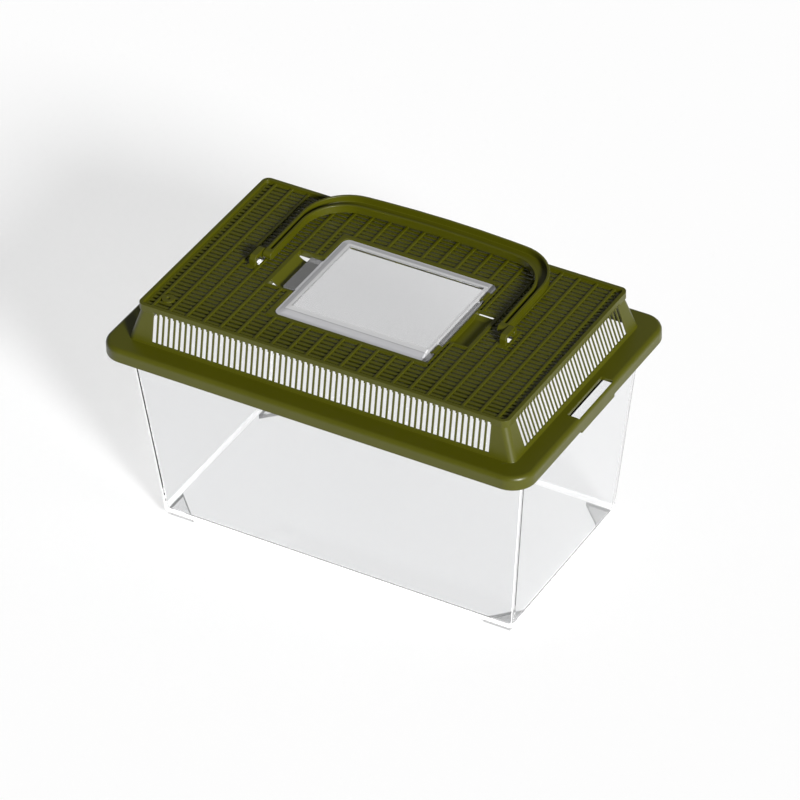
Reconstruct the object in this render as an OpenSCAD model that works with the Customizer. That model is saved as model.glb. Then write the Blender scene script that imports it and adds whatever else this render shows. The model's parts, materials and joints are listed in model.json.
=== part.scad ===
/* [Overall] */
// Length over the lid's flange
flange_l = 230; // [190:1:300]
// Width over the lid's flange
flange_w = 145; // [125:1:200]

/* [Tank] */
// Height of the tank from its underside to the top of its lip
tank_h = 105.7; // [60:1:160]
// How far each end wall leans out between the bottom and the lip
lean_l = 11.1; // [2:0.1:24]
// How far each long wall leans out between the bottom and the lip
lean_w = 6.9; // [2:0.1:20]
// Thickness of the tank's walls
wall_t = 1.8; // [1:0.1:3]
// Thickness of the tank's floor
floor_t = 2.2; // [1.5:0.1:4]
// Radius of the tank's upright corners
tank_r = 3; // [1:0.5:6]
// Height and width of the slope along the tank's bottom edge
base_slope = 1.5; // [0.5:0.1:3]
// Thickness of the lip round the tank's mouth
lip_t = 2; // [1.2:0.1:3]
// How far the lip stands out past the tank's end walls
lip_end = 5.2; // [3:0.1:14]
// How far the lip stands out past the tank's long walls
lip_side = 11.3; // [3:0.1:16]
// Gap between the lip's edge and the inside of the lid's skirt
lip_gap = 1; // [0.4:0.1:2]
// Height of the corner feet
foot_h = 2.5; // [1:0.1:5]
// Length of each foot's two straight sides
foot_leg = 14.5; // [8:0.5:24]
// Distance from the tank's bottom edge in to the feet
foot_inset = 0.4; // [0.2:0.1:3]

/* [Lid] */
// Corner radius of the flange
flange_r = 12; // [6:0.5:20]
// Thickness of the flange
flange_t = 1.8; // [1.2:0.1:3]
// Height of the skirt, from the flange's top down
skirt_h = 7; // [5:0.5:14]
// Thickness of the skirt
skirt_t = 1.2; // [0.8:0.1:2]
// Radius along the flange's top edge
edge_r = 2.4; // [0.5:0.1:2.6]
// Length of the slot in each end of the flange
tab_slot_l = 33.4; // [20:0.1:50]
// Width of the slot in each end of the flange
tab_slot_w = 6.2; // [3:0.1:8]
// Length of the deeper stretch of skirt at each end
tab_l = 32; // [16:0.5:48]
// How far the deeper stretch reaches below the skirt
tab_drop = 1.6; // [0.5:0.1:4]
// Distance from the flange's edge in to the foot of the sloping walls
wall_inset = 10.8; // [8:0.1:14]
// Height of the rim's top above the flange's top
lid_rise = 20.6; // [14:0.1:40]

/* [Sloping walls] */
// How far each end wall leans in between the flange and the rim
wall_lean_l = 5.5; // [1:0.1:12]
// How far each long wall leans in between the flange and the rim
wall_lean_w = 3.25; // [1:0.05:12]
// Thickness of the sloping walls
vent_t = 0.7; // [0.6:0.1:2]
// Radius of their corners
vent_r = 3.4; // [2:0.1:6]
// Width of each upright slot in the long walls
long_slot_w = 2.04; // [1:0.01:2.4]
// Pitch of the slots in the long walls
long_pitch = 3.04; // [2.6:0.01:5]
// Width of each upright slot in the end walls
end_slot_w = 2.1; // [1:0.05:2.4]
// Pitch of the slots in the end walls
end_pitch = 2.95; // [2.6:0.01:5]
// Height of the plain strip below the slots
slot_foot = 1.8; // [1:0.1:4]
// Plain wall left beside the last slot, at each corner
slot_land = 7.2; // [5:0.1:20]

/* [Rim] */
// Height of the rim's upright face
rim_h = 3.8; // [2.8:0.1:6]
// Width of the rim's top
rim_t = 1.9; // [1.2:0.1:3]
// Corner radius of the rim
rim_r = 3.6; // [2.4:0.1:8]
// How far the walls' slots reach up into the rim
rim_notch = 1.1; // [0:0.1:1.5]
// How far the rim stands out past the sloping walls
rim_over = 0.8; // [0.2:0.1:1.2]

/* [Grille] */
// Thickness of the slotted plate
grille_t = 2; // [1:0.1:2.4]
// How far the grille's ribs lie below the rim's top
grille_drop = 1.1; // [0.4:0.1:2]
// Height of the ribs on the plate
rib_h = 0.6; // [0.3:0.1:1]
// Width of the ribs
rib_w = 1.2; // [0.8:0.1:2]
// Pitch of the ribs
rib_pitch = 9.27; // [8:0.01:12]
// Pitch of the rows of slots
row_pitch = 2.93; // [2.6:0.01:5]
// Width of each slot in the grille
row_slot_w = 1.45; // [0.8:0.01:1.8]
// Diameter of the round collar at the front left
collar_d = 6.4; // [4:0.1:8]
// Diameter of the hole in the collar
collar_hole_d = 2; // [1:0.1:3]

/* [Window] */
// Length of the window door over its hinge edge
door_l = 83.2; // [70:0.1:84]
// Width of the window door
door_w = 68.2; // [50:0.1:69]
// Distance from the lid's middle to the door's middle
door_shift = 1.7; // [0:0.1:3]
// Thickness of the door's edge
door_t = 1.4; // [1:0.1:1.4]
// How far the door's flat edge lies below the grille's ribs
door_sink = 0.5; // [0.3:0.1:0.8]
// Height of the door's raised panel above its edge
dome_h = 2.2; // [1:0.1:3]
// Thickness of the raised panel
panel_t = 1.3; // [0.8:0.1:1.8]
// Width of the slope round the raised panel
dome_slope = 5.6; // [3:0.1:8]
// Corner radius of the door
door_r = 3.6; // [2:0.1:4]
// Gap between the door and its recess
door_gap = 0.5; // [0.3:0.1:0.6]
// Width of the ledge that the door rests on
ledge_w = 3.9; // [2:0.1:6]
// Thickness of the ledge
ledge_t = 1.4; // [1:0.1:2]
// Length of the door's tongue
tongue_l = 26; // [16:0.5:28]
// How far the tongue reaches out of the door
tongue_reach = 6.7; // [4:0.1:8]
// Thickness of the tongue
tongue_t = 1.2; // [0.8:0.1:1.4]

/* [Hinge] */
// Radius of the door's hinge barrel
barrel_r = 1.1; // [0.9:0.05:1.2]
// Length of the hinge barrel
barrel_l = 35.6; // [20:0.1:37]
// Radius of the hinge pins
pin_r = 0.8; // [0.6:0.05:0.85]
// Gap between a pin and the lug round it
pin_gap = 0.06; // [0.03:0.01:0.1]
// Radius of the lid's hinge lugs
lug_r = 1.6; // [1.3:0.05:1.65]
// Length of each lug
lug_l = 6.3; // [3:0.1:6.8]
// Distance from the lid's middle to the outer end of each lug
lug_end = 26.8; // [25:0.1:26.9]
// Distance from the lid's middle to the end of each notch in the door's hinge edge
notch_end = 27.2; // [27:0.1:30]
// Gap between a lug and the door's edge beside it
notch_gap = 0.2; // [0.1:0.05:0.5]

/* [Pockets] */
// Length of the finger pocket beside the tongue
tongue_pocket_l = 30.2; // [29:0.1:31]
// Length of the scooped floor in the tongue's pocket
tongue_scoop_l = 24; // [16:0.1:27]
// Depth of the scooped floors below the grille's ribs
scoop_depth = 3.1; // [2:0.1:3.2]
// Thickness of the scooped floors
scoop_t = 1.1; // [0.8:0.1:1.6]
// Width of the open slit at the end of the hinge-side floor
slit_w = 1; // [0.6:0.1:2]
// Thickness of the bar over that slit
slit_bar_t = 0.9; // [0.8:0.1:1.6]
// Width of the plain edge round a pocket
pocket_edge = 1; // [0.6:0.1:1.3]

/* [Handle] */
// Distance between the middles of the handle's two arms
handle_l = 127.2; // [120:0.1:132]
// Distance from the rim's outer edge in to the middle of the grip
grip_inset = 0.45; // [0:0.05:4]
// Width of the arms
strap_w = 4.3; // [4:0.1:6]
// Height of the arms and grip
strap_t = 4.3; // [3:0.1:5]
// Width of the grip
grip_w = 9.2; // [5:0.1:12]
// Radius of the handle's corners, measured outside
bend_r = 24; // [16:0.5:30]
// Radius of the handle's corners, measured inside
bend_in_r = 21; // [12:0.5:28]
// Radius of the grip's slight bow, measured outside
bow_r = 540; // [250:10:900]
// Thickness of the handle's side walls, beside its groove
side_t = 1.3; // [0.9:0.1:1.5]
// Thickness of the web under the groove
web_t = 1; // [0.8:0.1:2]
// Gap between the folded handle and the rim under it
rest_gap = 0.3; // [0.1:0.1:1]
// Radius of the handle's pivot pins
pivot_r = 1.2; // [0.9:0.05:1.4]
// Gap between a pivot pin and its bracket
pivot_gap = 0.08; // [0.04:0.01:0.1]
// Distance from the lid's middle line back to the pivots
pivot_y = 2; // [0:0.1:3]
// Height of the pivots above the grille's ribs
pivot_h = 2.5; // [2.4:0.1:4]
// Thickness of each bracket's ear
ear_t = 3.2; // [2:0.1:4]
// Gap between an arm and the ear beside it
ear_gap = 0.5; // [0.3:0.1:1]
// Radius of the ear round the pin
ear_r = 2.5; // [2:0.1:4]
// Thickness of the bracket's front post
post_t = 1.9; // [1.2:0.1:3]
// How far a pin stands out of its ear
pin_end = 0.8; // [0:0.1:2]

/* [Hidden] */
$fn = 48;
olive = [0.29, 0.3, 0.06];
clear = [0.86, 0.89, 0.9, 0.45];
over = rib_h; // overrun of a cut past the face it opens
skin = over / 100; // thickness of the end plates that a hull spans

// Levels, from the surface that the feet stand on
lip_z = foot_h + tank_h;
flange_z = lip_z + flange_t;
skirt_z = flange_z - skirt_h;
rim_z = flange_z + lid_rise;
rim_foot_z = rim_z - rim_h;
rib_z = rim_z - grille_drop;
plate_z = rib_z - rib_h;
door_z = rib_z - door_sink;
ledge_z = door_z - door_t;
seat_z = ledge_z - ledge_t;

// Outline of the tank at its bottom edge
base_l = flange_l - 2 * (skirt_t + lip_gap + lip_end + lean_l);
base_w = flange_w - 2 * (skirt_t + lip_gap + lip_side + lean_w);

// Sloping walls: their foot on the flange and their head under the rim
wall_foot_l = flange_l - 2 * wall_inset;
wall_foot_w = flange_w - 2 * wall_inset;
wall_head_l = wall_foot_l - 2 * wall_lean_l;
wall_head_w = wall_foot_w - 2 * wall_lean_w;

// The rim, and its inside outline, which the grille fills
rim_l = wall_head_l + 2 * rim_over;
rim_w = wall_head_w + 2 * rim_over;
in_l = rim_l - 2 * rim_t;
in_w = rim_w - 2 * rim_t;
in_r = rim_r - rim_t;

// Rows and ribs of the grille, counted out from the middle
ribs = floor((in_l / 2 - rib_w) / rib_pitch);
rows = floor((in_w / 2 - row_slot_w) / row_pitch);
end_land_share = 0.7;
end_land = rib_w * end_land_share;

// Window: the door's edges, its recess and the block of plain plastic round it
door_left = door_shift - door_l / 2;
door_right = door_shift + door_l / 2;
recess_left = door_left - door_gap;
recess_right = door_right + door_gap;
recess_w = door_w + 2 * door_gap;
window_rows = ceil(recess_w / 2 / row_pitch) + 0.5;
block_w = 2 * window_rows * row_pitch;
block_left = recess_left - (block_w - recess_w) / 2;
block_right = recess_right + rib_h;
hinge_x = door_right - barrel_r;
hinge_z = ledge_z + door_t / 2;
notch_x = hinge_x - lug_r - notch_gap;
hole_right = hinge_x - barrel_r - notch_gap / 2;
dome_foot_share = 0.25; // share of the slope's width that stays flat as the door's edge

// Pockets: the cells of the grille that each takes up
tongue_cells = ceil((tongue_reach - recess_left) / rib_pitch);
tongue_block_x = -(tongue_cells * rib_pitch - rib_w / 2);
tongue_rows = 5.5;
hinge_cells = tongue_cells;
hinge_block_x = hinge_cells * rib_pitch - rib_w / 2;
hinge_rows_front = 5.5;
hinge_rows_back = 4.5;

// Handle: its levels, its bow and the brackets' ears and pads
pivot_z = rib_z + pivot_h;
handle_reach = rim_w / 2 - pivot_y - grip_inset;
strap_tilt = asin((rim_z + rest_gap + strap_t / 2 - pivot_z) / handle_reach);
arm_x = handle_l / 2;
bend_steps = 12;
bow_steps = 10;
ear_x = arm_x + strap_w / 2 + ear_gap;
pad_rows = 2.5;
pad_x0 = floor(arm_x / rib_pitch + 1) * rib_pitch - rib_w / 2;
pad_x1 = ear_x + ear_t + pocket_edge;
post_y = -pad_rows * row_pitch + pocket_edge;

// A rectangle with round corners, centred
module rounded(l, w, r) {
  union() {
    square([l - 2 * r, w], center = true);
    square([l, w - 2 * r], center = true);
    for (sx = [-1, 1], sy = [-1, 1]) translate([sx * (l / 2 - r), sy * (w / 2 - r)]) circle(r);
  }
}

// A rectangle between two corners
module span(x0, x1, y0, y1) {
  translate([x0, y0]) square([x1 - x0, y1 - y0]);
}

// A box between two corners
module block(x0, x1, y0, y1, z0, z1) {
  translate([x0, y0, z0]) cube([x1 - x0, y1 - y0, z1 - z0]);
}

// Sweeps an outline, drawn with x as the distance from a corner's middle, round a rounded rectangle
module round_sweep(l, w, r) {
  for (sx = [0, 1], sy = [0, 1]) {
    mirror([sx, 0, 0]) mirror([0, sy, 0]) translate([l / 2 - r, w / 2 - r, 0]) rotate_extrude(angle = 90) children();
  }
  for (s = [0, 1]) mirror([s, 0, 0]) {
    translate([l / 2 - r, w / 2 - r, 0]) rotate([90, 0, 0]) linear_extrude(w - 2 * r) children();
  }
  for (s = [0, 1]) mirror([0, s, 0]) {
    translate([-l / 2 + r, w / 2 - r, 0]) rotate([90, 0, 90]) linear_extrude(l - 2 * r) children();
  }
}

// A slice of the tank's outline at a level, drawn in by a wall's thickness where inset is given
module slice(inset, z) {
  lean = (z - foot_h) / tank_h;
  translate([0, 0, z]) linear_extrude(skin)
    rounded(base_l + 2 * lean_l * lean - 2 * inset, base_w + 2 * lean_w * lean - 2 * inset, tank_r - inset / 2);
}

// Clear tank: a tapering tub with a flat lip round its mouth and four corner feet
module tank() {
  lip_l = flange_l - 2 * (skirt_t + lip_gap);
  lip_w = flange_w - 2 * (skirt_t + lip_gap);
  color(clear) union() {
    difference() {
      union() {
        hull() {
          translate([0, 0, foot_h]) linear_extrude(skin)
            rounded(base_l - 2 * base_slope, base_w - 2 * base_slope, tank_r);
          slice(0, foot_h + base_slope);
          slice(0, lip_z - lip_t / 2);
        }
        translate([0, 0, lip_z - lip_t]) linear_extrude(lip_t)
          rounded(lip_l, lip_w, flange_r - skirt_t - lip_gap);
      }
      hull() {
        slice(wall_t, foot_h + floor_t);
        slice(wall_t, lip_z + over);
      }
    }
    for (sx = [0, 1], sy = [0, 1]) mirror([sx, 0, 0]) mirror([0, sy, 0])
      translate([-base_l / 2 + base_slope + foot_inset, -base_w / 2 + base_slope + foot_inset, 0])
        linear_extrude(foot_h + floor_t / 2) polygon([[0, 0], [foot_leg, 0], [0, foot_leg]]);
  }
}

// Outline of the flange's edge: the skirt, the round top edge and a stretch of flange
module flange_edge() {
  difference() {
    union() {
      span(flange_r - 2 * edge_r, flange_r - edge_r, skirt_z, flange_z);
      span(flange_r - 2 * edge_r, flange_r, skirt_z, flange_z - edge_r);
      translate([flange_r - edge_r, flange_z - edge_r]) circle(edge_r);
    }
    span(flange_r - 3 * edge_r, flange_r - skirt_t, skirt_z - over, lip_z);
  }
}

// Flange of the lid: a flat ring with a skirt, and at each end a slot over a deeper stretch of skirt
module lid_flange() {
  slot_x = flange_l / 2 - skirt_t;
  color(olive) difference() {
    union() {
      translate([0, 0, lip_z]) linear_extrude(flange_t) difference() {
        rounded(flange_l - 3 * edge_r, flange_w - 3 * edge_r, flange_r - 3 * edge_r / 2);
        rounded(wall_foot_l - 2 * vent_t, wall_foot_w - 2 * vent_t, vent_r - vent_t / 2);
      }
      round_sweep(flange_l, flange_w, flange_r) flange_edge();
      for (s = [0, 1]) mirror([s, 0, 0])
        block(slot_x, flange_l / 2, -tab_l / 2, tab_l / 2, skirt_z - tab_drop, skirt_z + over);
    }
    for (s = [0, 1]) mirror([s, 0, 0])
      block(slot_x - tab_slot_w, slot_x, -tab_slot_l / 2, tab_slot_l / 2, skirt_z, flange_z + over);
  }
}

// Tapering ring from the flange up to the rim, solid, drawn in by a wall's thickness where inset is given
module wall_body(inset, below, above) {
  rise = rim_foot_z - flange_z;
  grow_l = (wall_foot_l - wall_head_l) / rise;
  grow_w = (wall_foot_w - wall_head_w) / rise;
  r = vent_r - inset / 2;
  hull() {
    translate([0, 0, flange_z - below]) linear_extrude(skin)
      rounded(wall_foot_l + grow_l * below - 2 * inset, wall_foot_w + grow_w * below - 2 * inset, r);
    translate([0, 0, rim_foot_z + above - skin]) linear_extrude(skin)
      rounded(wall_head_l - grow_l * above - 2 * inset, wall_head_w - grow_w * above - 2 * inset, r);
  }
}

// One side of the ring: long side towards -Y, or short side towards -X
module wall_side(long) {
  x = wall_foot_l / 2 + over;
  y = wall_foot_w / 2 + over;
  mid = x - y;
  difference() {
    intersection() {
      wall_body(0, 0, 0);
      translate([0, 0, flange_z]) linear_extrude(rim_foot_z - flange_z)
        polygon(long ? [[-x, -y], [x, -y], [mid, 0], [-mid, 0]] : [[-x, -y], [-mid, 0], [-x, y]]);
    }
    wall_body(vent_t, over, over);
  }
}

// Upright slots through a wall, side by side along X and centred, each as deep as the wall leans
module wall_slots(length, pitch, width, depth) {
  count = floor((length - 2 * slot_land) / pitch);
  for (i = [0 : count - 1]) {
    x = (i - (count - 1) / 2) * pitch;
    block(x - width / 2, x + width / 2, -depth, 0, flange_z + slot_foot, rim_foot_z + rim_notch);
  }
}

// Long sloping wall with its row of upright slots
module vent_wall_long() {
  color(olive) difference() {
    wall_side(true);
    translate([0, -wall_head_w / 2 + vent_t + vent_r, 0])
      wall_slots(wall_head_l, long_pitch, long_slot_w, wall_inset + vent_t + vent_r);
  }
}

// Sloping end wall with its row of upright slots
module vent_wall_end() {
  color(olive) difference() {
    wall_side(false);
    rotate([0, 0, -90]) translate([0, -wall_head_l / 2 + vent_t + vent_r, 0])
      wall_slots(wall_head_w, end_pitch, end_slot_w, wall_inset + vent_t + vent_r);
  }
}

module vent_wall_front() { vent_wall_long(); }
module vent_wall_back() { mirror([0, 1, 0]) vent_wall_long(); }
module vent_wall_left() { vent_wall_end(); }
module vent_wall_right() { mirror([1, 0, 0]) vent_wall_end(); }

// Rim round the top of the lid: an upright band that carries the grille, notched by the walls' slots
module lid_rim() {
  color(olive) difference() {
    translate([0, 0, rim_foot_z]) linear_extrude(rim_h) difference() {
      rounded(rim_l, rim_w, rim_r);
      rounded(in_l, in_w, in_r);
    }
    for (s = [0, 1]) mirror([0, s, 0]) translate([0, over - in_w / 2, 0])
      wall_slots(wall_head_l, long_pitch, long_slot_w, rim_t + 2 * over);
    for (s = [0, 1]) mirror([s, 0, 0]) rotate([0, 0, -90]) translate([0, over - in_l / 2, 0])
      wall_slots(wall_head_w, end_pitch, end_slot_w, rim_t + 2 * over);
  }
}

// Plain plastic in the grille: the window's block and the two pockets'
module window_blocks() {
  union() {
    span(block_left, block_right, -block_w / 2, block_w / 2);
    span(tongue_block_x, block_left + over, -tongue_rows * row_pitch, tongue_rows * row_pitch);
    span(block_right - over, hinge_block_x, -hinge_rows_front * row_pitch, hinge_rows_back * row_pitch);
  }
}

// Outline of one bracket's pad, on the right
module bracket_pad() {
  span(pad_x0, pad_x1, -pad_rows * row_pitch, pad_rows * row_pitch);
}

// Outline of one panel of the grille, less the window, the pockets and the brackets' pads
module panel(x0, x1, y0, y1) {
  difference() {
    intersection() {
      span(x0, x1, y0, y1);
      rounded(in_l, in_w, in_r);
    }
    window_blocks();
    for (s = [0, 1]) mirror([s, 0, 0]) bracket_pad();
  }
}

// Slots of a panel, one in each cell between two ribs
module panel_slots(x0, x1, y0, y1) {
  limit = in_l / 2 - end_land;
  for (k = [-ribs - 1 : ribs], j = [-rows : rows]) {
    left = max(k * rib_pitch + rib_w / 2, -limit);
    right = min((k + 1) * rib_pitch - rib_w / 2, limit);
    y = j * row_pitch;
    inside = right > x0 && left < x1 && y > y0 && y < y1 && right > left;
    hidden = left > block_left && right < block_right && abs(y) < block_w / 2;
    if (inside && !hidden) span(left, right, y - row_slot_w / 2, y + row_slot_w / 2);
  }
}

// One panel of the grille: a slotted plate with ribs across its slats
module grille_panel(x0, x1, y0, y1) {
  union() {
    translate([0, 0, plate_z - grille_t]) linear_extrude(grille_t) difference() {
      panel(x0, x1, y0, y1);
      panel_slots(x0, x1, y0, y1);
    }
    translate([0, 0, plate_z]) linear_extrude(rib_h) intersection() {
      panel(x0, x1, y0, y1);
      for (k = [-ribs : ribs]) span(k * rib_pitch - rib_w / 2, k * rib_pitch + rib_w / 2, y0, y1);
    }
  }
}

// Left panel, with the small round collar near its front end
module grille_left() {
  x_share = 0.4;
  y_share = 2.7;
  x = -(ribs - x_share) * rib_pitch;
  y = -(rows - y_share) * row_pitch;
  color(olive) difference() {
    union() {
      grille_panel(-in_l / 2, tongue_block_x, -in_w / 2, in_w / 2);
      translate([x, y, plate_z - grille_t]) cylinder(h = grille_t + rib_h, d = collar_d);
    }
    translate([x, y, plate_z - grille_t - over]) cylinder(h = grille_t + rib_h + 2 * over, d = collar_hole_d);
  }
}

module grille_right() { color(olive) grille_panel(hinge_block_x, in_l / 2, -in_w / 2, in_w / 2); }
module grille_front() { color(olive) grille_panel(tongue_block_x, hinge_block_x, -in_w / 2, -block_w / 2); }
module grille_back() { color(olive) grille_panel(tongue_block_x, hinge_block_x, block_w / 2, in_w / 2); }

// Short panels of the grille, beside the two pockets
module grille_tongue_back() {
  color(olive) grille_panel(tongue_block_x, block_left, tongue_rows * row_pitch, block_w / 2);
}
module grille_tongue_front() { mirror([0, 1, 0]) grille_tongue_back(); }
module grille_hinge_back() {
  color(olive) grille_panel(block_right, hinge_block_x, hinge_rows_back * row_pitch, block_w / 2);
}
module grille_hinge_front() {
  color(olive) grille_panel(block_right, hinge_block_x, -block_w / 2, -hinge_rows_front * row_pitch);
}

// Side view of a scooped floor that falls from x = 0, at the ribs' level, to its flat bottom
module scoop(length) {
  fall = scoop_depth;
  steps = 6;
  run = fall * 2;
  curve = [for (i = [0 : steps]) [run * i / steps, rib_z - fall * sin(90 * i / steps)]];
  under = [for (i = [steps : -1 : 0]) [run * i / steps + scoop_t / 2, rib_z - fall * sin(90 * i / steps) - scoop_t]];
  polygon(concat(curve, [[length, rib_z - fall], [length, rib_z - fall - scoop_t]], under, [[0, rib_z - scoop_t]]));
}

// Side view of the raised end of the hinge-side floor, seen with x as the place along Y
module raised_end(y) {
  end_share = 0.9;
  fall = scoop_depth - scoop_t * end_share;
  run = 2 * fall;
  steps = 4;
  polygon(concat(
    [for (i = [0 : steps]) [y - run * i / steps, rib_z - scoop_t * end_share - fall * sin(90 * i / steps)]],
    [[y - run, rib_z - scoop_depth - scoop_t], [y, rib_z - scoop_depth - scoop_t]]
  ));
}

// Outline of the recess that the door lies in
module recess() {
  translate([(recess_left + recess_right) / 2, 0])
    rounded(recess_right - recess_left, recess_w, door_r + door_gap);
}

// Window seat: the frame that the door lies in, with a pocket at each side and two hinge lugs
module window_seat() {
  tongue_x = tongue_block_x + pocket_edge;
  pocket_x0 = block_right + rib_h / 2;
  pocket_x1 = hinge_block_x - pocket_edge / 2;
  pocket_y0 = -hinge_rows_front * row_pitch + pocket_edge;
  pocket_y1 = hinge_rows_back * row_pitch - pocket_edge - rib_h;
  color(olive) union() {
    difference() {
      translate([0, 0, seat_z]) linear_extrude(rib_z - seat_z) window_blocks();
      translate([0, 0, ledge_z]) linear_extrude(rib_z - ledge_z + over) recess();
      block(recess_left + ledge_w, hole_right, -recess_w / 2 + ledge_w, recess_w / 2 - ledge_w,
        seat_z - over, rib_z);
      block(hole_right - skin, recess_right, -recess_w / 2, recess_w / 2, seat_z - over, rib_z + over);
      block(tongue_x, recess_left + skin, -tongue_pocket_l / 2, tongue_pocket_l / 2, seat_z - over, rib_z + over);
      block(pocket_x0, pocket_x1, pocket_y0, pocket_y1, seat_z - over, rib_z + over);
      block(pocket_x0, pocket_x1, pocket_y1 - skin, hinge_rows_back * row_pitch + skin,
        seat_z - over, rib_z - slit_bar_t);
    }
    translate([tongue_x, tongue_scoop_l / 2, 0]) rotate([90, 0, 0]) linear_extrude(tongue_scoop_l)
      scoop(recess_left - tongue_x);
    translate([pocket_x1, pocket_y0, 0]) mirror([1, 0, 0]) mirror([0, 1, 0]) rotate([90, 0, 0])
      linear_extrude(pocket_y1 - pocket_y0 - slit_w) scoop(pocket_x1 - pocket_x0);
    translate([pocket_x0, 0, 0]) rotate([90, 0, 90]) linear_extrude(pocket_x1 - pocket_x0)
      raised_end(pocket_y1 - slit_w);
    for (s = [0, 1]) mirror([0, s, 0]) hinge_lug();
  }
}

// Hinge lug: a round boss on the recess's wall, bored for the door's pin
module hinge_lug() {
  translate([0, lug_end, 0]) rotate([90, 0, 0]) linear_extrude(lug_l) difference() {
    union() {
      translate([hinge_x, hinge_z]) circle(lug_r);
      span(hinge_x, recess_right + skin, hinge_z - lug_r, rib_z);
    }
    translate([hinge_x, hinge_z]) circle(pin_r + pin_gap);
  }
}

// Raised panel of the door, with a slope on three sides and an upright side at the hinge
module dome(inset, z0) {
  foot = dome_slope * dome_foot_share;
  left = door_left + foot + inset;
  right = notch_x - inset;
  half = door_w / 2 - foot - inset;
  slope = dome_slope - foot;
  hull() {
    translate([(left + right) / 2, 0, z0]) linear_extrude(skin)
      rounded(right - left, 2 * half, door_r / 2);
    translate([(left + slope + right) / 2, 0, door_z + dome_h - inset - skin]) linear_extrude(skin)
      rounded(right - left - slope, 2 * (half - slope), door_r / 3);
  }
}

// Clear window door: a raised panel with a flat edge, a tongue, and a hinge barrel with its pins
module window_door() {
  color(clear) union() {
    difference() {
      union() {
        translate([door_shift, 0, ledge_z]) linear_extrude(door_t) difference() {
          rounded(door_l, door_w, door_r);
          span(notch_x - door_shift, door_l, -notch_end, notch_end);
        }
        dome(0, door_z - skin);
      }
      dome(panel_t, ledge_z - over);
    }
    block(door_left - tongue_reach, door_left + dome_slope * dome_foot_share, -tongue_l / 2, tongue_l / 2,
      door_z - tongue_t, door_z);
    block(notch_x - skin, hinge_x, -barrel_l / 2, barrel_l / 2, ledge_z, door_z);
    translate([hinge_x, barrel_l / 2, hinge_z]) rotate([90, 0, 0]) cylinder(h = barrel_l, r = barrel_r);
    translate([hinge_x, notch_end + over, hinge_z]) rotate([90, 0, 0])
      cylinder(h = 2 * (notch_end + over), r = pin_r);
  }
}

// Outline of one bracket's ear, seen from the side with x as the place along Y
module ear_side() {
  brace_share = 0.6;
  brace_rise_share = 0.2;
  opening_share = 0.8;
  difference() {
    union() {
      translate([pivot_y, pivot_z]) circle(ear_r);
      polygon([
        [post_y, plate_z - grille_t], [post_y + post_t, plate_z - grille_t], [post_y + post_t, plate_z],
        [pivot_y - ear_r * brace_share, pivot_z - ear_r * brace_rise_share], [pivot_y, pivot_z + ear_r],
        [post_y + post_t, pivot_z + ear_r], [post_y, pivot_z + ear_r - post_t]
      ]);
      span(pivot_y + ear_r - post_t, pivot_y + ear_r, plate_z - grille_t, pivot_z);
    }
    polygon([
      [post_y + post_t, rib_z], [post_y + post_t, pivot_z + ear_r - post_t],
      [pivot_y - ear_r * opening_share, pivot_z], [pivot_y - ear_r * opening_share, rib_z]
    ]);
    translate([pivot_y, pivot_z]) circle(pivot_r + pivot_gap);
  }
}

// Handle bracket: an ear with a bored eye and a front post, on a pad with an open well
module bracket() {
  well_y0 = post_y + post_t;
  well_y1 = pivot_y + ear_r - post_t;
  color(olive) union() {
    translate([0, 0, plate_z - grille_t]) linear_extrude(grille_t + rib_h) difference() {
      bracket_pad();
      span(pad_x0 + pocket_edge, pad_x1 - pocket_edge, well_y0, well_y1);
    }
    translate([ear_x, 0, 0]) rotate([90, 0, 90]) linear_extrude(ear_t) ear_side();
  }
}

module handle_bracket_right() { bracket(); }
module handle_bracket_left() { mirror([1, 0, 0]) bracket(); }

// Points along one edge of the handle, from one arm round to the other, with its pivots on y = 0
function edge_points(x, reach, bend, bow, start) =
  let (a = asin((x - bend) / (bow - bend)), y = reach - bow + (bow - bend) * cos(a)) concat(
    [[x, start]],
    [for (i = [0 : bend_steps])
      let (t = (90 - a) * i / bend_steps) [x - bend + bend * cos(t), y + bend * sin(t)]],
    [for (i = [1 : bow_steps - 1])
      let (t = a * (1 - 2 * i / bow_steps)) [bow * sin(t), reach - bow + bow * cos(t)]],
    [for (i = [bend_steps : -1 : 0])
      let (t = (90 - a) * i / bend_steps) [bend - x - bend * cos(t), y + bend * sin(t)]],
    [[-x, start]]
  );
function reversed(list) = [for (i = [len(list) - 1 : -1 : 0]) list[i]];

// Plan of the handle, wider at the grip than at its arms, drawn in where inset is given
module handle_plan(inset, start) {
  polygon(concat(
    edge_points(arm_x + strap_w / 2 - inset, handle_reach + grip_w / 2 - inset, bend_r - inset, bow_r - inset, start),
    reversed(edge_points(arm_x - strap_w / 2 + inset, handle_reach - grip_w / 2 + inset, bend_in_r + inset,
      bow_r - grip_w + inset, start))
  ));
}

// Carrying handle: a channel bent to a bail, with an eye and a pin at the end of each arm
module carry_handle() {
  eye_r = strap_t / 2;
  color(olive) translate([0, pivot_y, pivot_z]) rotate([strap_tilt, 0, 0]) union() {
    difference() {
      translate([0, 0, -eye_r]) linear_extrude(strap_t) handle_plan(0, 0);
      translate([0, 0, web_t - eye_r]) linear_extrude(strap_t) handle_plan(side_t, eye_r);
    }
    for (s = [0, 1]) mirror([s, 0, 0]) translate([arm_x - strap_w / 2, 0, 0]) rotate([0, 90, 0]) {
      cylinder(h = strap_w, r = eye_r);
      cylinder(h = strap_w + ear_gap + ear_t + pin_end, r = pivot_r);
    }
  }
}

tank();
lid_flange();
vent_wall_front();
vent_wall_back();
vent_wall_left();
vent_wall_right();
lid_rim();
grille_front();
grille_back();
grille_left();
grille_right();
grille_tongue_front();
grille_tongue_back();
grille_hinge_front();
grille_hinge_back();
window_seat();
handle_bracket_left();
handle_bracket_right();
window_door();
carry_handle();
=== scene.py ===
import json
import math

import bmesh
import bpy
from mathutils import Matrix, Vector


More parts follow.
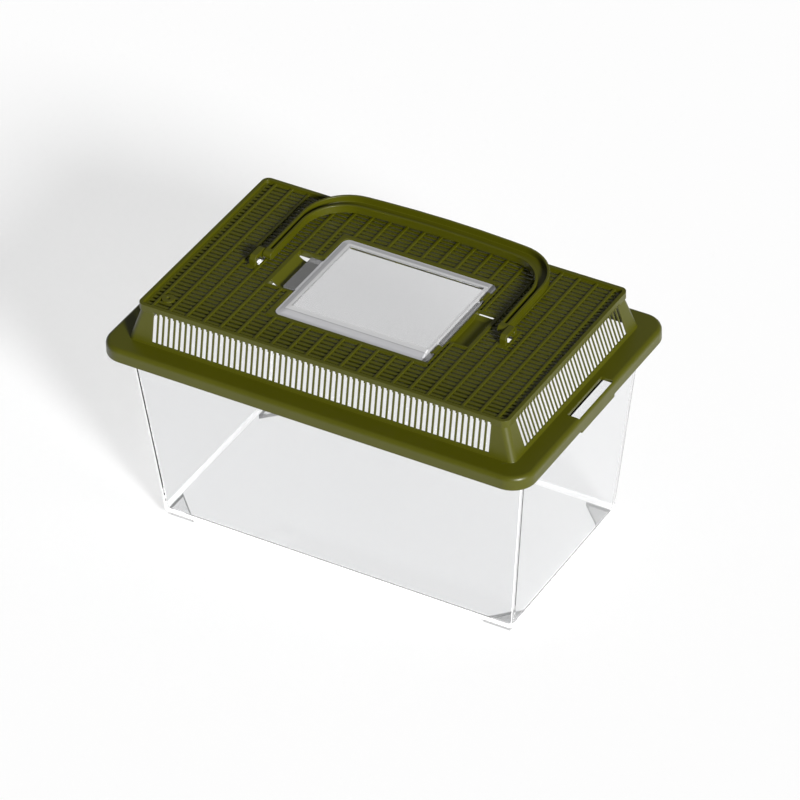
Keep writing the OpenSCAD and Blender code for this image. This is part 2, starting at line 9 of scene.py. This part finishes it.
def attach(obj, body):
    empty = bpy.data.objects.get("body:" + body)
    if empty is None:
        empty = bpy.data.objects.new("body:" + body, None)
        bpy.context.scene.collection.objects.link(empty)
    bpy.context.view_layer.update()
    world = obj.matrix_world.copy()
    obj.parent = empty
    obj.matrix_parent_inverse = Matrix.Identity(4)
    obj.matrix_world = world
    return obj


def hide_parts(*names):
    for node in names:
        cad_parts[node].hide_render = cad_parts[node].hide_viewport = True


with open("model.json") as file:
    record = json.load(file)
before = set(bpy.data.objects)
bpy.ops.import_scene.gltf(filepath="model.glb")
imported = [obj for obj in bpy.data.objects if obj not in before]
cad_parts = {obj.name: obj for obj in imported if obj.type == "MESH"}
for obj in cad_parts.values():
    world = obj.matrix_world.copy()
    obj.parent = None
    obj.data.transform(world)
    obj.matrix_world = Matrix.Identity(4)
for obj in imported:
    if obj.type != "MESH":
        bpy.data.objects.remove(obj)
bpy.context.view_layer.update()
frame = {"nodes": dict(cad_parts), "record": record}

scene = bpy.context.scene

# Camera
# A long lens from above the right front corner, far enough off that the keeper's
# upright edges stay nearly parallel.
scene.view_settings.view_transform = "Standard"
camera = bpy.data.objects.new("camera", bpy.data.cameras.new("camera"))
camera.data.lens = 252.1
camera.data.sensor_width = 36
camera.data.clip_start = 0.1
camera.data.clip_end = 20
turned = Matrix.Rotation(math.radians(29.78378), 3, "Z")
rolled = Matrix.Rotation(math.radians(1.25451), 3, "Y")
raised = Matrix.Rotation(math.radians(53.10291), 3, "X")
camera.matrix_world = Matrix.LocRotScale(Vector((1.0972, -1.8327, 1.6721)), turned @ rolled @ raised, None)
scene.collection.objects.link(camera)
scene.camera = camera


# Floor and light
# A plain pale studio floor under one broad lamp, high on the right, with an even
# white surround that fills the shadows.
class Value:
    """One socket, which the operators join to others by Math nodes."""

    def __init__(self, nodes, socket):
        self.nodes = nodes
        self.socket = socket

    def math(self, operation, a, b, clamp=False):
        made = self.nodes.node("ShaderNodeMath", {"operation": operation, "use_clamp": clamp}, {0: a, 1: b})
        return Value(self.nodes, made.outputs[0])

    def __add__(self, other):
        return self.math("ADD", self, other)

    def __sub__(self, other):
        return self.math("SUBTRACT", self, other)

    def __rsub__(self, other):
        return self.math("SUBTRACT", other, self)

    def __mul__(self, other):
        return self.math("MULTIPLY", self, other)

    def __truediv__(self, other):
        return self.math("DIVIDE", self, other)

    __radd__ = __add__
    __rmul__ = __mul__

    def size(self):
        return self.math("ABSOLUTE", self, 0.0)

    def over(self, other):
        return self.math("MAXIMUM", self, other)

    def clamp(self):
        return self.math("ADD", self, 0.0, True)

    def past(self, edge, blur):
        """0 up to an edge and 1 past it, with a blur between."""
        return ((self - edge) / blur).clamp()

    def short_of(self, edge, blur):
        return ((edge - self) / blur).clamp()


class Nodes:
    """A node tree, with one way to add any node."""

    def __init__(self, tree):
        self.tree = tree

    def node(self, kind, settings={}, inputs={}):
        made = self.tree.nodes.new(kind)
        for name, value in settings.items():
            setattr(made, name, value)
        for name, value in inputs.items():
            self.feed(made.inputs[name], value)
        return made

    def feed(self, socket, value):
        if isinstance(value, Value):
            value = value.socket
        if isinstance(value, bpy.types.NodeSocket):
            self.tree.links.new(value, socket)
        else:
            socket.default_value = value

    def rays(self, *kinds):
        """For each kind of ray a value that is 1 on such rays."""
        path = self.node("ShaderNodeLightPath")
        return [Value(self, path.outputs["Is " + kind + " Ray"]) for kind in kinds]


class Material(Nodes):
    def __init__(self, name, base, roughness):
        self.data = bpy.data.materials.new(name)
        self.data.use_nodes = True
        super().__init__(self.data.node_tree)
        self.shader = self.tree.nodes["Principled BSDF"]
        self.output = self.tree.nodes["Material Output"]
        self.shader.inputs["Base Color"].default_value = (*base, 1)
        self.shader.inputs["Roughness"].default_value = roughness


floor_mesh = bpy.data.meshes.new("floor")
bm = bmesh.new()
bmesh.ops.create_grid(bm, x_segments=1, y_segments=1, size=6)
bm.to_mesh(floor_mesh)
bm.free()
floor = bpy.data.objects.new("floor", floor_mesh)
scene.collection.objects.link(floor)
floor_paint = Material("floor_paint", (0.95, 0.95, 0.95), 0.9)
floor_paint.shader.inputs["Specular IOR Level"].default_value = 0
direct, through = floor_paint.rays("Camera", "Transmission")
glow = floor_paint.node("ShaderNodeEmission", {}, {"Color": (1, 1, 1, 1), "Strength": 1.0})
glow_share = (0.68 * direct + 0.82 * through).clamp()
lit = floor_paint.node(
    "ShaderNodeMixShader", {}, {0: glow_share, 1: floor_paint.shader.outputs[0], 2: glow.outputs[0]}
)
floor_paint.feed(floor_paint.output.inputs["Surface"], lit.outputs[0])
floor_mesh.materials.append(floor_paint.data)

scene.world = bpy.data.worlds.new("surround")
scene.world.use_nodes = True
surround = Nodes(scene.world.node_tree)
fill = surround.tree.nodes["Background"]
surround.feed(fill.inputs["Color"], (1, 1, 1, 1))
surround.feed(fill.inputs["Strength"], 0.2)
white = surround.node("ShaderNodeBackground", {}, {"Color": (1, 1, 1, 1), "Strength": 1.0})
direct, through = surround.rays("Camera", "Transmission")
blend = surround.node(
    "ShaderNodeMixShader", {}, {0: (direct + through).clamp(), 1: fill.outputs[0], 2: white.outputs[0]}
)
surround.feed(surround.tree.nodes["World Output"].inputs["Surface"], blend.outputs[0])

key = bpy.data.lights.new("key_light", "SUN")
key.energy = 5.9
key.angle = math.radians(12)
azimuth, elevation = math.radians(-33.5), math.radians(25)
toward = Vector(
    (math.cos(azimuth) * math.cos(elevation), math.sin(azimuth) * math.cos(elevation), math.sin(elevation))
)
key_object = bpy.data.objects.new("key_light", key)
key_object.matrix_world = Matrix.LocRotScale(toward * 2, toward.to_track_quat("Z", "Y"), None)
scene.collection.objects.link(key_object)


# Lid
# One injection moulding in olive green: a flange with a skirt, sloping slotted walls,
# a rim, the slotted and ribbed top, the window seat and the two handle brackets.
mm = 0.001


def merged(bm, distance):
    bmesh.ops.remove_doubles(bm, verts=bm.verts, dist=distance)
    return bm


def copy_of(nodes, name):
    """The CAD nodes as one piece, fused where they meet, with loose triangles merged."""
    copies = []
    for node in nodes:
        copy = bpy.data.objects.new(name, frame["nodes"][node].data.copy())
        bm = bmesh.new()
        bm.from_mesh(copy.data)
        merged(bm, 0.001 * mm).to_mesh(copy.data)
        bm.free()
        copies.append(copy)
    piece, others = copies[0], copies[1:]
    scene.collection.objects.link(piece)
    if others:
        group = bpy.data.collections.new(name + "_parts")
        scene.collection.children.link(group)
        for other in others:
            group.objects.link(other)
        fuse = piece.modifiers.new("fuse", "BOOLEAN")
        fuse.operation = "UNION"
        fuse.solver = "EXACT"
        fuse.operand_type = "COLLECTION"
        fuse.collection = group
        bpy.context.view_layer.update()
        seen = piece.evaluated_get(bpy.context.evaluated_depsgraph_get())
        fused = bpy.data.meshes.new_from_object(seen)
        piece.modifiers.clear()
        piece.data = fused
        for other in others:
            bpy.data.objects.remove(other)
        bpy.data.collections.remove(group)
    bm = bmesh.new()
    bm.from_mesh(piece.data)
    merged(bm, 0.01 * mm)
    bmesh.ops.dissolve_degenerate(bm, dist=0.01 * mm, edges=bm.edges)
    bmesh.ops.dissolve_limit(bm, angle_limit=math.radians(1), verts=bm.verts, edges=bm.edges)
    bmesh.ops.delete(bm, geom=[edge for edge in bm.edges if edge.is_wire], context="EDGES")
    bm.to_mesh(piece.data)
    bm.free()
    return piece


def soften(piece, width, segments=2, smooth=True, clamp=True):
    """Rounds the moulded edges of a piece, and keeps its flat faces flat in the light."""
    for face in piece.data.polygons:
        face.use_smooth = smooth
    bevel = piece.modifiers.new("soft edges", "BEVEL")
    bevel.width = width
    bevel.segments = segments
    bevel.limit_method = "ANGLE"
    bevel.angle_limit = math.radians(35)
    bevel.use_clamp_overlap = clamp
    if smooth:
        evened = piece.modifiers.new("even faces", "WEIGHTED_NORMAL")
        evened.weight = 100


def finish_piece(piece, body, material, *nodes):
    piece.data.materials.clear()
    piece.data.materials.append(material.data)
    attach(piece, body)
    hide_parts(*nodes)


class Plastic(Material):
    def place(self):
        """Where a point is on the piece: its x, y and z."""
        where = self.node("ShaderNodeTexCoord")
        split = self.node("ShaderNodeSeparateXYZ", {}, {0: where.outputs["Object"]})
        return [Value(self, socket) for socket in split.outputs]

    def noise(self, scale, detail):
        where = self.node("ShaderNodeTexCoord")
        grain = {"Vector": where.outputs["Object"], "Scale": scale, "Detail": detail}
        return Value(self, self.node("ShaderNodeTexNoise", {}, grain).outputs[0])

    def mix(self, share, a, b):
        a, b = [(*end, 1) if isinstance(end, tuple) else end for end in (a, b)]
        return self.node("ShaderNodeMix", {"data_type": "RGBA"}, {0: share, 6: a, 7: b}).outputs[2]


olive_plastic = Plastic("olive_plastic", (0.062, 0.0635, 0.0008), 0.4)
olive = olive_plastic.mix(olive_plastic.noise(28, 3), (0.05, 0.051, 0.0003), (0.062, 0.0635, 0.0008))
# Painted shade: the insides of the grille's slots are coloured near black, standing in for the shade that falls in
# them.
slot_painted_shade = (0.004, 0.004, 0.0001)
seat_x, seat_y, pocket_x, pocket_y = 55 * mm, 36.7 * mm, 44.5 * mm, 16.4 * mm
rim_x, rim_y, plate_low, plate_top = 97.5 * mm, 57.3 * mm, 126.6 * mm, 128.8 * mm
x, y, z = olive_plastic.place()
x, y = x.size(), y.size()
beside_seat = x.past(seat_x, 0.2 * mm).over(y.past(seat_y, 0.2 * mm))
beside_pocket = x.past(pocket_x, 0.2 * mm) * y.past(pocket_y, 0.2 * mm)
in_rim = x.short_of(rim_x, 0.2 * mm) * y.short_of(rim_y, 0.2 * mm)
in_plate = z.short_of(plate_top, 0.4 * mm) * z.past(plate_low, 0.2 * mm)
slot_shade_mask = beside_seat.over(beside_pocket) * in_rim * in_plate
# Painted shade mixed into the olive inside the slots, at 68 %.
olive_plastic.feed(
    olive_plastic.shader.inputs["Base Color"], olive_plastic.mix(0.68 * slot_shade_mask, olive, slot_painted_shade)
)
olive_plastic.feed(olive_plastic.shader.inputs["Roughness"], 0.3 + 0.14 * olive_plastic.noise(90, 3))
olive_plastic.shader.inputs["Specular IOR Level"].default_value = 0.36
moulded = {"Height": olive_plastic.noise(1400, 2), "Strength": 0.12, "Distance": 0.02 * mm}
grain = olive_plastic.node("ShaderNodeBump", {}, moulded)
olive_plastic.feed(olive_plastic.shader.inputs["Normal"], grain.outputs[0])

lid_nodes = frame["record"]["behaviour"]["bodies"]["lid"]
lid = copy_of(lid_nodes, "lid_moulding")
soften(lid, 0.12 * mm, clamp=False)
finish_piece(lid, "lid", olive_plastic, *lid_nodes)


# Tank
# Clear polystyrene, moulded in one shot with draught on every wall, a flat lip round
# the mouth for the lid and four low corner feet.
def outline(bm, length, width, radius, z):
    """A rounded rectangle as one loop of edges at a level."""
    flat = Matrix.Translation((0, 0, z)) @ Matrix.Diagonal((length, width, 1, 1))
    made = bmesh.ops.create_grid(bm, x_segments=1, y_segments=1, size=0.5, matrix=flat)
    rounded = bmesh.ops.bevel(
        bm, geom=made["verts"], offset=radius, segments=8, profile=0.5, affect="VERTICES", material=-1
    )
    face = rounded["verts"][0].link_faces[0]
    edges = list(face.edges)
    bmesh.ops.delete(bm, geom=[face], context="FACES_ONLY")
    return edges


def loft(bm, rings):
    """Joins rounded rectangles, given as length, width, radius and level, and closes both ends."""
    loops = [outline(bm, *ring) for ring in rings]
    for low, high in zip(loops, loops[1:]):
        bmesh.ops.bridge_loops(bm, edges=low + high)
    for end in (loops[0], loops[-1]):
        bmesh.ops.contextual_create(bm, geom=end)


class Clear(Plastic):
    """Clear plastic that bends light and lets some of the lamp's light through."""

    def __init__(self, name, tint, roughness, bend, shade):
        super().__init__(name, tint, roughness)
        self.shader.inputs["Transmission Weight"].default_value = 1
        self.shader.inputs["IOR"].default_value = bend
        open_way = self.node("ShaderNodeBsdfTransparent", {}, {"Color": (1, 1, 1, 1)})
        (shadow,) = self.rays("Shadow")
        self.surface = self.shader.outputs[0]
        self.lay(shadow * (1 - shade), open_way)

    def lay(self, share, shader):
        mixed = self.node("ShaderNodeMixShader", {}, {0: share, 1: self.surface, 2: shader.outputs[0]})
        self.surface = mixed.outputs[0]
        self.feed(self.output.inputs["Surface"], self.surface)

    def frost_and_painted_light(self, share, colour, roughness, glow=0.0):
        """Frosted plastic laid over the clear plastic by a share; with glow, its emission is a painted glow."""
        overlay_bsdf = self.node("ShaderNodeBsdfPrincipled", {}, {"Base Color": colour, "Roughness": roughness})
        overlay_bsdf.inputs["Emission Color"].default_value = (1, 1, 1, 1)
        overlay_bsdf.inputs["Emission Strength"].default_value = glow
        self.lay(share, overlay_bsdf)


foot_z, lip_z, wall = 2.5 * mm, 108.2 * mm, 1.8 * mm
base_l, base_w, spread_l, spread_w = 193 * mm, 104.2 * mm, 22.2 * mm, 13.8 * mm
lip_l, lip_w, lip_r, lip_t, lip_edge = 225.6 * mm, 140.6 * mm, 9.8 * mm, 2 * mm, 0.4 * mm
corner_r, base_r, neck = 3 * mm, 1.5 * mm, 0.5 * mm
inner_z, inner_r, inner_low_r = foot_z + 2.2 * mm, 2.1 * mm, 1 * mm


def tank_wall(z, inset, radius):
    lean = (z - foot_z) / (lip_z - foot_z)
    return (base_l + spread_l * lean - 2 * inset, base_w + spread_w * lean - 2 * inset, radius, z)


def tank_lip(z, inset):
    return (lip_l - 2 * inset, lip_w - 2 * inset, lip_r - inset, z)


quarter = [math.radians(15 * step) for step in range(7)]
shell = [
    tank_wall(foot_z + (1 - math.cos(t)) * base_r, (1 - math.sin(t)) * base_r, base_r + base_r * math.sin(t))
    for t in quarter
]
shell += [
    tank_wall(lip_z - 2.6 * mm, 0, corner_r),
    tank_wall(lip_z - lip_t - 0.05 * mm, -neck, corner_r + neck),
    tank_lip(lip_z - lip_t, lip_edge),
    tank_lip(lip_z - lip_t + lip_edge, 0),
    tank_lip(lip_z - lip_edge, 0),
    tank_lip(lip_z, lip_edge),
    tank_wall(lip_z - 0.05 * mm, wall - neck, inner_r + neck),
    tank_wall(lip_z - neck, wall, inner_r),
]
shell += [
    tank_wall(
        inner_z + (1 - math.cos(t)) * inner_low_r, wall + (1 - math.sin(t)) * inner_low_r, 1.1 * mm + math.sin(t) * mm
    )
    for t in reversed(quarter)
]
bm = bmesh.new()
loft(bm, shell)
foot_x, foot_y, leg = 94.6 * mm, 50.2 * mm, 14.5 * mm
for sx in (-1, 1):
    for sy in (-1, 1):
        corner = [
            bm.verts.new((sx * (foot_x - a), sy * (foot_y - b), 0)) for a, b in ((0, 0), (leg, 0), (0, leg))
        ]
        sole = bmesh.ops.contextual_create(bm, geom=corner)["faces"]
        raised = bmesh.ops.extrude_face_region(bm, geom=sole)["geom"]
        tops = [vert for vert in raised if isinstance(vert, bmesh.types.BMVert)]
        bmesh.ops.translate(bm, verts=tops, vec=(0, 0, foot_z + 0.3 * mm))
bmesh.ops.recalc_face_normals(bm, faces=bm.faces)
tank_mesh = bpy.data.meshes.new("tank_shell")
bm.to_mesh(tank_mesh)
bm.free()
tank = bpy.data.objects.new("tank_shell", tank_mesh)
scene.collection.objects.link(tank)
soften(tank, 0.3 * mm, smooth=False)

tank_clear = Clear("tank_clear", (0.935, 0.938, 0.942), 0.02, 1.2, 0.85)
x, y, z = tank_clear.place()
lean = (z - foot_z) / (lip_z - foot_z)
beyond_x = x.size() - (base_l / 2 + spread_l / 2 * lean)
beyond_y = y.size() - (base_w / 2 + spread_w / 2 * lean)
# Painted light: the upright corners and the outer bottom edges get a glowing light-grey layer, painted glowing edge
# lines.
upright = (beyond_x + beyond_y).past(-1.79 * mm, 0.02 * mm)
outer = beyond_x.over(beyond_y).past(-1.7 * mm, 0.3 * mm)
low = z.short_of(foot_z + 3.6 * mm, 0.4 * mm)
tank_clear.frost_and_painted_light(0.8 * upright.over(low * outer), (0.9, 0.9, 0.9, 1), 0.35, 0.5)
# Painted glow on the corner edges of the left end.
end_corner_glow = beyond_x.past(-3 * mm, 0.3 * mm) * beyond_y.past(-2.6 * mm, 0.3 * mm)
tank_clear.frost_and_painted_light(0.8 * end_corner_glow * x.short_of(0, mm), (0.8, 0.8, 0.8, 1), 0.4, 0.35)
# The feet are frosted dark grey, with a faint painted glow.
feet = z.short_of(foot_z - 0.2 * mm, 0.2 * mm)
tank_clear.frost_and_painted_light(0.8 * feet, (0.3, 0.3, 0.3, 1), 0.4, 0.12)
finish_piece(tank, "tank", tank_clear, "tank")

# Window door
# Clear moulding with a raised panel and a frosted tongue. Its pins turn in the two lugs
# of the window seat.
door_clear = Clear("door_clear", (0.75, 0.75, 0.755), 0.05, 1.3, 0.5)
middle, half_l, half_w, ledge_w = 3 * mm, 39 * mm, 29.8 * mm, 2.6 * mm
x, y, z = door_clear.place()
beyond = ((x - middle).size() - half_l).over(y.size() - half_w)
border = beyond.past(0, 0.4 * mm)
# Painted shade: a dark line round the edge of the raised panel.
crease_shade_line = 1 - beyond.size().past(0, 0.28 * mm)
tongue = x.short_of(-40.2 * mm, 0.3 * mm)
barrel = x.past(40.3 * mm, 0.3 * mm)
ends = tongue.over(barrel)
ledge = (beyond.past(-ledge_w, 0.2 * mm) - border - barrel).clamp()
door_clear.frost_and_painted_light(0.9 * ledge, (0.58, 0.58, 0.585, 1), 0.3)
# The frosted border, with the painted dark line along the panel's edge.
border_and_crease_shade_share = (0.72 * border - 0.72 * ends + 0.6 * crease_shade_line).clamp()
door_clear.frost_and_painted_light(border_and_crease_shade_share, door_clear.mix(crease_shade_line, (0.52, 0.52, 0.535), (0.04, 0.04, 0.04)), 0.45)
door_clear.frost_and_painted_light(0.6 * ends, (0.17, 0.17, 0.17, 1), 0.5)
door = copy_of(["window_door"], "window_door_panel")
soften(door, 0.25 * mm)
finish_piece(door, "door", door_clear, "window_door")

# Carrying handle
# Olive channel bent to a bail, moulded flat and sprung into the two brackets by its
# pins. It folds down behind the window on to the rim.
handle = copy_of(["carry_handle"], "carry_handle_bail")
soften(handle, 0.35 * mm, segments=3)
finish_piece(handle, "handle", olive_plastic, "carry_handle")
